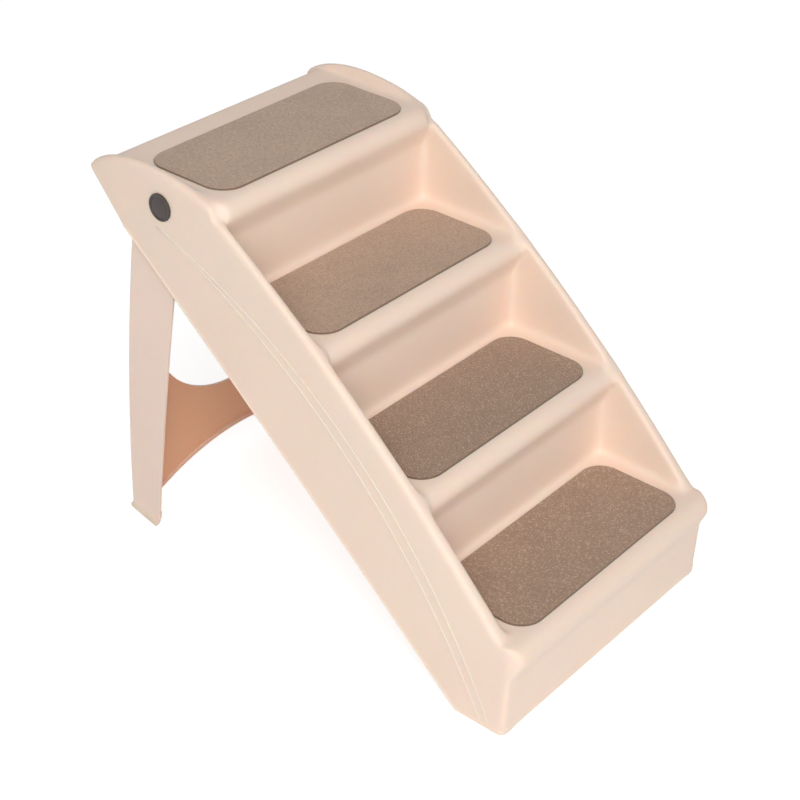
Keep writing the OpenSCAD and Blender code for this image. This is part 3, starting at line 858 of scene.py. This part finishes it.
def shell_cutters():
    """Recesses of the pads, and the bores and seats of the hinge plugs"""
    s = sizes()
    cutters = []
    for k in range(4):
        recess = rounded_slab(
            "recess", s.pad_width + 2 * s.pad_gap, s.pad_depth + 2 * s.pad_gap, 0.006, s.pad_corner + s.pad_gap
        )
        cutters.append(moved(recess, pad_place(k) @ Matrix.Translation((0, -s.pad_gap, 0))))
    for side in (-1, 1):
        seat = s.skin_half - SEAT_DEPTH
        bore = s.journal_radius + 0.0001
        cap = s.cap_radius + 0.0001
        rings = [(BORE_START, bore), (seat, bore), (seat, cap), (seat + 0.010, cap)]
        cutters.append(moved(turned("bore", rings), pivot_frame(side)))
    return joined(cutters, "shell_cutters")


class STAIRS_OT_shell(bpy.types.Operator):
    """Models the moulded shell: stepped floor, rims and side skins in one sheet of even thickness"""

    bl_idname = "stairs.shell"
    bl_label = "Stepped shell"

    def execute(self, context):
        s = sizes()
        shell = shell_sheet()
        apply_modifier(shell, "SOLIDIFY", thickness=s.wall, offset=-1, use_even_offset=True, thickness_clamp=0)
        smoothed(shell, 2)
        cut(shell, shell_cutters())
        shaded(shell, 35)
        dress(shell, "shell", "shell", "step_shell")
        return {"FINISHED"}


class STAIRS_OT_underside(bpy.types.Operator):
    """Models what the shell carries below: ribs, stops, rests, the latch's boss, washer seats and foot shelves"""

    bl_idname = "stairs.underside"
    bl_label = "Underside"

    def execute(self, context):
        s = sizes()
        half = s.wall / 2
        rib, middle = 0.0012, s.depth / 2
        made = []
        for x in (-0.062, 0.062):
            for k in range(3):
                back, up = step_top(k)
                y, z = back + s.nose_reach + half, up - half
                foot = s.rise / 2 if k == 0 else s.rise - s.wall
                outline = [(y, z - foot), (y, z - s.nose_depth / 2), (y + s.nose_radius / 2, z), (y + s.run, z)]
                made.append(side_plate("rib", outline, x - rib, x + rib))
            back, up = step_top(3)
            front, rear = back + s.nose_reach + half, s.platform_back - s.wall
            outline = [
                (front, up - s.rise + s.wall),
                (front, up - s.nose_depth / 2),
                (back + s.nose_radius, up - half),
                (rear, up - half - 0.010),
                (rear, s.pivot_up),
                (back + s.run / 2, s.pivot_up),
            ]
            made.append(side_plate("rib", outline, x - rib, x + rib))
        slope = tilted(math.atan2(s.rise, s.run))
        rest_at, above = slope_point(1)
        low = -1.18 * LEG_HEAD - STOP_HEIGHT
        for side in (-1, 1):
            mirror = Matrix.Scale(side, 4, (1, 0, 0))
            low_end, high_end = (LEG_HALF - 0.020, 0.0523, low), (LEG_HALF + s.wall, 0.0613, low + STOP_HEIGHT)
            made.append(moved(block("stop", low_end, high_end, 0.0008), mirror @ tilted(math.radians(LEG_LEAN))))
            low_end = (LEG_HALF - 0.022, rest_at - 0.013, REST_LOW)
            high_end = (LEG_HALF - 0.016, rest_at + 0.013, above + s.wall)
            made.append(moved(block("rest", low_end, high_end, 0.0008), mirror @ slope))
            seat = turned("seat", [(0.1887, 0.0166), (0.1891, s.cap_radius), (0.1906, s.cap_radius)])
            made.append(moved(seat, pivot_frame(side)))
            edge = skin_at(0) - half
            front = s.nose_reach + s.riser_lean + half - middle
            shelf = block("shelf", (edge - 0.0372, front, 0.008), (edge, front + 0.0372, 0.0106))
            made.append(moved(shelf, mirror))
        boss_at, above = slope_point(0)
        rings = [(BOSS_LOW, 0.0102), (BOSS_LOW + 0.0008, 0.011), (above + s.wall, 0.011)]
        made.append(moved(turned("boss", rings), slope @ Matrix.Translation((0, boss_at, 0))))
        under = joined(made, "shell_underside")
        rings = [(BORE_START, 0.0111), (0.1930, 0.0111)]
        cutters = [moved(turned("bore", rings), pivot_frame(side)) for side in (-1, 1)]
        cut(under, joined(cutters, "seat_bores"))
        shaded(under, 35)
        dress(under, "shell", "shell")
        return {"FINISHED"}


def slope_point(k):
    """Place of the rounded inner corner under tread k, along the slope and square to it from the pivot"""
    s = sizes()
    fillet, diagonal = 0.009, math.radians(315)
    back = (k + 1) * s.run + s.nose_reach + s.wall + fillet * (math.cos(diagonal) - 1)
    up = s.first_tread + k * s.rise - s.wall + fillet * (math.sin(diagonal) + 1)
    slope = math.atan2(s.rise, s.run)
    gap = Vector((back - s.pivot_back, up - s.pivot_up))
    return gap.dot(Vector((math.cos(slope), math.sin(slope)))), gap.dot(Vector((-math.sin(slope), math.cos(slope))))


class STAIRS_OT_beads(bpy.types.Operator):
    """Models the two thin raised lines on each side skin"""

    bl_idname = "stairs.beads"
    bl_label = "Side beads"

    def execute(self, context):
        s = sizes()
        top = (s.pivot_back + BEAD_TOP[0], s.pivot_up + BEAD_TOP[1])
        middle, inset = s.depth / 2, s.lip_step / 2
        made = []
        for side in (-1, 1):
            for foot, sag in BEADS:
                line = bowed(top, (foot, 0.006), sag, 48)
                deselect()
                bpy.ops.mesh.primitive_circle_add(vertices=8, radius=1, fill_type="NGON")
                bead = named("bead")
                open_mesh()
                for _ in line[1:]:
                    bpy.ops.mesh.extrude_region_move(TRANSFORM_OT_translate={"value": (0, 0, 1)})
                close_mesh()
                for vertex in bead.data.vertices:
                    step = min(len(line) - 1, max(0, round(vertex.co.z)))
                    before, after = line[max(step - 1, 0)], line[min(step + 1, len(line) - 1)]
                    way = (after - before).normalized()
                    across, out = vertex.co.x * s.bead_radius, vertex.co.y * s.bead_height
                    place = line[step] + Vector((-way.y, way.x)) * across
                    vertex.co = (side * (skin_at(place.y) - inset + out), place.x - middle, place.y)
                open_mesh()
                close_mesh(outwards=True)
                made.append(bead)
        beads = joined(made, "side_beads")
        shaded(beads, 60)
        dress(beads, "shell", "shell")
        return {"FINISHED"}


class STAIRS_OT_pads(bpy.types.Operator):
    """Models the four carpet pads, one of them copied to each tread"""

    bl_idname = "stairs.pads"
    bl_label = "Carpet pads"

    def execute(self, context):
        s = sizes()
        first = rounded_slab("carpet_pad", s.pad_width, s.pad_depth, s.pad_height, s.pad_corner, 0.0011, 12)
        shaded(first, 50)
        for k in range(4):
            pad = copied(first, "carpet_pad_%d" % (k + 1))
            # Each pad's share of the painted sheen
            painted_sheen = pad.data.attributes.new("painted_sheen", "FLOAT", "FACE").data
            painted_sheen.foreach_set("value", [PAD_PAINTED_SHEEN[k]] * len(painted_sheen))
            # Painted shade on the side faces, in place of the shadow in the gap round the pad
            rim = pad.data.attributes.new("rim", "FLOAT", "FACE").data
            rim.foreach_set("value", [1.0 if face.normal.z < 0.8 else 0.0 for face in pad.data.polygons])
            moved(pad, pad_place(k))
            dress(pad, "carpet", "shell", "tread_pad_%d" % (k + 1))
        bpy.data.objects.remove(first)
        return {"FINISHED"}


class STAIRS_OT_plugs(bpy.types.Operator):
    """Models the two hinge plugs: a cap with a raised rim on a round journal"""

    bl_idname = "stairs.plugs"
    bl_label = "Hinge plugs"

    def execute(self, context):
        s = sizes()
        seat = s.skin_half - SEAT_DEPTH
        face, radius, journal = seat + s.cap_height, s.cap_radius, s.journal_radius
        rings = [
            (0.1802, journal - 0.0008),
            (0.1810, journal),
            (seat, journal),
            (seat + 0.00001, radius - 0.0003),
            (seat + 0.0003, radius),
            (face - 0.0009, radius),
            (face - 0.0003, radius - 0.0003),
            (face, radius - 0.0010),
            (face, radius - 0.0022),
            (face - 0.0003, radius - 0.0028),
            (face - 0.0009, radius - 0.0031),
            (face - 0.0009, radius - 0.0044),
            (face - 0.0006, radius - 0.0049),
            (face - 0.0005, radius - 0.0056),
            (face - 0.0005, 0.004),
            (face - 0.0004, 0.001),
        ]
        first = turned("plug", rings, 96)
        cut(first, turned("screw_bore", [(0.1790, 0.0025), (0.1902, 0.0025)], 32))
        shaded(first, 30)
        for side, word in ((-1, "left"), (1, "right")):
            plug = moved(copied(first, "hinge_cap_" + word), pivot_frame(side))
            dress(plug, "dark_plastic", "shell", "hinge_plug_" + word)
        bpy.data.objects.remove(first)
        return {"FINISHED"}


class STAIRS_OT_leg(bpy.types.Operator):
    """Finishes the folding leg: rounds its edges, and those along its rear corners more"""

    bl_idname = "stairs.leg"
    bl_label = "Folding leg"

    def execute(self, context):
        s = sizes()
        leg = cad_copy("rear_leg", "folding_leg")
        flat = tilted(math.radians(LEG_LEAN)).inverted()

        def corner(edge):
            a, b = ends = [flat @ v.co for v in edge.verts]
            if abs(a.z - b.z) < 1e-4 or a.x * b.x < 0:
                return False
            rear = s.leg_back - 0.0005
            return all(abs(abs(p.x) - LEG_HALF) < 1e-5 and p.y > rear and p.z < -0.0315 for p in ends)

        only(leg)
        open_mesh()
        pick(leg, "EDGE", corner)
        bpy.ops.mesh.bevel(offset=s.leg_corner, segments=6, affect="EDGES")
        close_mesh()
        apply_modifier(
            leg, "BEVEL", width=s.leg_edge, segments=2, limit_method="ANGLE", angle_limit=math.radians(32)
        )
        shaded(leg, 32)
        apply_modifier(leg, "WEIGHTED_NORMAL", keep_sharp=True)
        self.true_normals(leg, flat)
        dress(leg, "leg", "leg", "rear_leg")
        return {"FINISHED"}

    def true_normals(self, leg, flat):
        """Gives the plates and the bowed cross panel their true normals, and marks the faces that look inwards,
        which get painted warm shade
        """
        s = sizes()
        span = s.leg_heel - s.leg_panel
        turn = flat.to_3x3()
        back = turn.inverted()
        mesh = leg.data
        normals = [Vector(corner.vector) for corner in mesh.corner_normals]
        places = [flat @ vertex.co for vertex in mesh.vertices]
        inner = []
        for face in mesh.polygons:
            way = turn @ face.normal
            middle = flat @ face.center
            # Faces that look inwards get the painted warm shade
            inwards = way.x * middle.x < 0 if abs(way.x) > 0.9 else way.y < -0.5 and abs(middle.x) < 0.1846
            inner.append(1.0 if inwards and abs(middle.x) < 0.1850 else 0.0)
            for index in face.loop_indices:
                place = places[mesh.loops[index].vertex_index]
                if abs(way.x) > 0.9999:
                    normals[index] = Vector((math.copysign(1, way.x), 0, 0))
                    continue
                share = (place.z + s.leg_heel) / span
                rear = s.leg_back + 4 * s.leg_bow * share * (1 - share)
                if min(abs(place.y - rear), abs(place.y - rear + s.leg_wall)) > 0.0003:
                    continue
                curve = Vector((0, 1, -4 * s.leg_bow * (1 - 2 * share) / span)).normalized()
                if abs(way.dot(curve)) > 0.997:
                    normals[index] = back @ (curve if way.y > 0 else -curve)
        mesh.normals_split_custom_set(normals)
        mesh.attributes.new("inner", "FLOAT", "FACE").data.foreach_set("value", inner)


class STAIRS_OT_fittings(bpy.types.Operator):
    """Gives the washers, retainers, screws, feet and latch their finishes and small bevels"""

    bl_idname = "stairs.fittings"
    bl_label = "Fittings"

    def execute(self, context):
        sided = {
            "hinge_washer": "dark_plastic",
            "hinge_retainer": "dark_plastic",
            "retainer_screw": "steel",
            "front_foot": "rubber",
            "leg_foot": "beige_rubber",
        }
        slots = {"%s_%s" % (name, side): slot for name, slot in sided.items() for side in ("left", "right")}
        slots.update(storage_latch="dark_plastic", latch_screw="steel")
        for name, slot in slots.items():
            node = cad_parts[name]
            for material_slot in node.material_slots:
                material_slot.link = "OBJECT"
                material_slot.material = finish(slot)
            node.modifiers.new("Merged", "WELD").merge_threshold = 1e-5
            round_off = node.modifiers.new("Rounded", "BEVEL")
            round_off.width, round_off.segments = 0.0004, 2
            round_off.limit_method, round_off.angle_limit = "ANGLE", math.radians(40)
        return {"FINISHED"}


class STAIRS_OT_stage(bpy.types.Operator):
    """Makes the studio: floor, lamps, pale surroundings and the camera"""

    bl_idname = "stairs.stage"
    bl_label = "Stage"

    def execute(self, context):
        scene = context.scene
        deselect()
        bpy.ops.mesh.primitive_plane_add(size=14, location=(0, 0, -0.0004))
        floor = named("studio_floor")
        settle(floor)
        f = Finish("studio_floor")
        matte = f.node("BsdfDiffuse", Color=full(colours().floor))
        glow = f.node("Emission", Color=(1.0, 1.0, 1.0, 1.0), Strength=f.seen() * 0.62)
        f.node("OutputMaterial", Surface=f.node("AddShader", _0=matte, _1=glow))
        floor.data.materials.append(f.material)

        scene.world = bpy.data.worlds.new("studio")
        sky = Nodes(scene.world)
        pale = sky.node("Background", Color=(1.0, 1.0, 1.0, 1.0), Strength=sky.seen() * 0.63 + 0.37)
        sky.node("OutputWorld", Surface=pale)

        for name, place, aim, size, power in LAMPS:
            deselect()
            bpy.ops.object.light_add(type="AREA", location=place)
            lamp = context.object
            lamp.name = name
            lamp.data.shape, lamp.data.size, lamp.data.energy = "DISK", size, power
            lamp.rotation_euler = (Vector(place) - Vector(aim)).to_track_quat("Z", "Y").to_euler()

        deselect()
        bpy.ops.object.camera_add()
        camera = context.object
        camera.name = "studio_camera"
        azimuth, elevation, roll = (math.radians(angle) for angle in CAMERA_TURN)
        behind = Vector(
            (math.sin(azimuth) * math.cos(elevation), -math.cos(azimuth) * math.cos(elevation), math.sin(elevation))
        )
        right = Vector((math.cos(azimuth), math.sin(azimuth), 0))
        upward = behind.cross(right)
        rolled_right = right * math.cos(roll) + upward * math.sin(roll)
        rolled_up = upward * math.cos(roll) - right * math.sin(roll)
        turn = Matrix((rolled_right, rolled_up, behind)).transposed().to_4x4()
        camera.matrix_world = Matrix.Translation(CAMERA_PLACE) @ turn
        camera.data.sensor_width = SENSOR
        camera.data.lens = LENS
        scene.camera = camera
        scene.view_settings.view_transform = "Standard"
        return {"FINISHED"}


class STAIRS_PT_panel(bpy.types.Panel):
    """Lists the stairs' sizes, colours and pieces"""

    bl_idname = "STAIRS_PT_panel"
    bl_label = "Pet stairs"
    bl_space_type = "VIEW_3D"
    bl_region_type = "UI"
    bl_category = "Pet stairs"

    def draw(self, context):
        layout = self.layout
        for group in (context.scene.stairs_sizes, context.scene.stairs_colours):
            box = layout.box()
            for name in group.__annotations__:
                box.prop(group, name)
        for operator in PIECES:
            layout.operator(operator.bl_idname)


PIECES = (
    STAIRS_OT_stage,
    STAIRS_OT_shell,
    STAIRS_OT_underside,
    STAIRS_OT_beads,
    STAIRS_OT_pads,
    STAIRS_OT_plugs,
    STAIRS_OT_leg,
    STAIRS_OT_fittings,
)
CLASSES = (StairsSizes, StairsColours) + PIECES + (STAIRS_PT_panel,)


def register():
    for item in CLASSES:
        bpy.utils.register_class(item)
    bpy.types.Scene.stairs_sizes = bpy.props.PointerProperty(type=StairsSizes)
    bpy.types.Scene.stairs_colours = bpy.props.PointerProperty(type=StairsColours)


def unregister():
    del bpy.types.Scene.stairs_colours
    del bpy.types.Scene.stairs_sizes
    for item in reversed(CLASSES):
        bpy.utils.unregister_class(item)


def main():
    register()
    bpy.ops.stairs.stage()
    bpy.ops.stairs.shell()
    bpy.ops.stairs.underside()
    bpy.ops.stairs.beads()
    bpy.ops.stairs.pads()
    bpy.ops.stairs.plugs()
    bpy.ops.stairs.leg()
    bpy.ops.stairs.fittings()
    deselect()


if __name__ == "__main__":
    main()
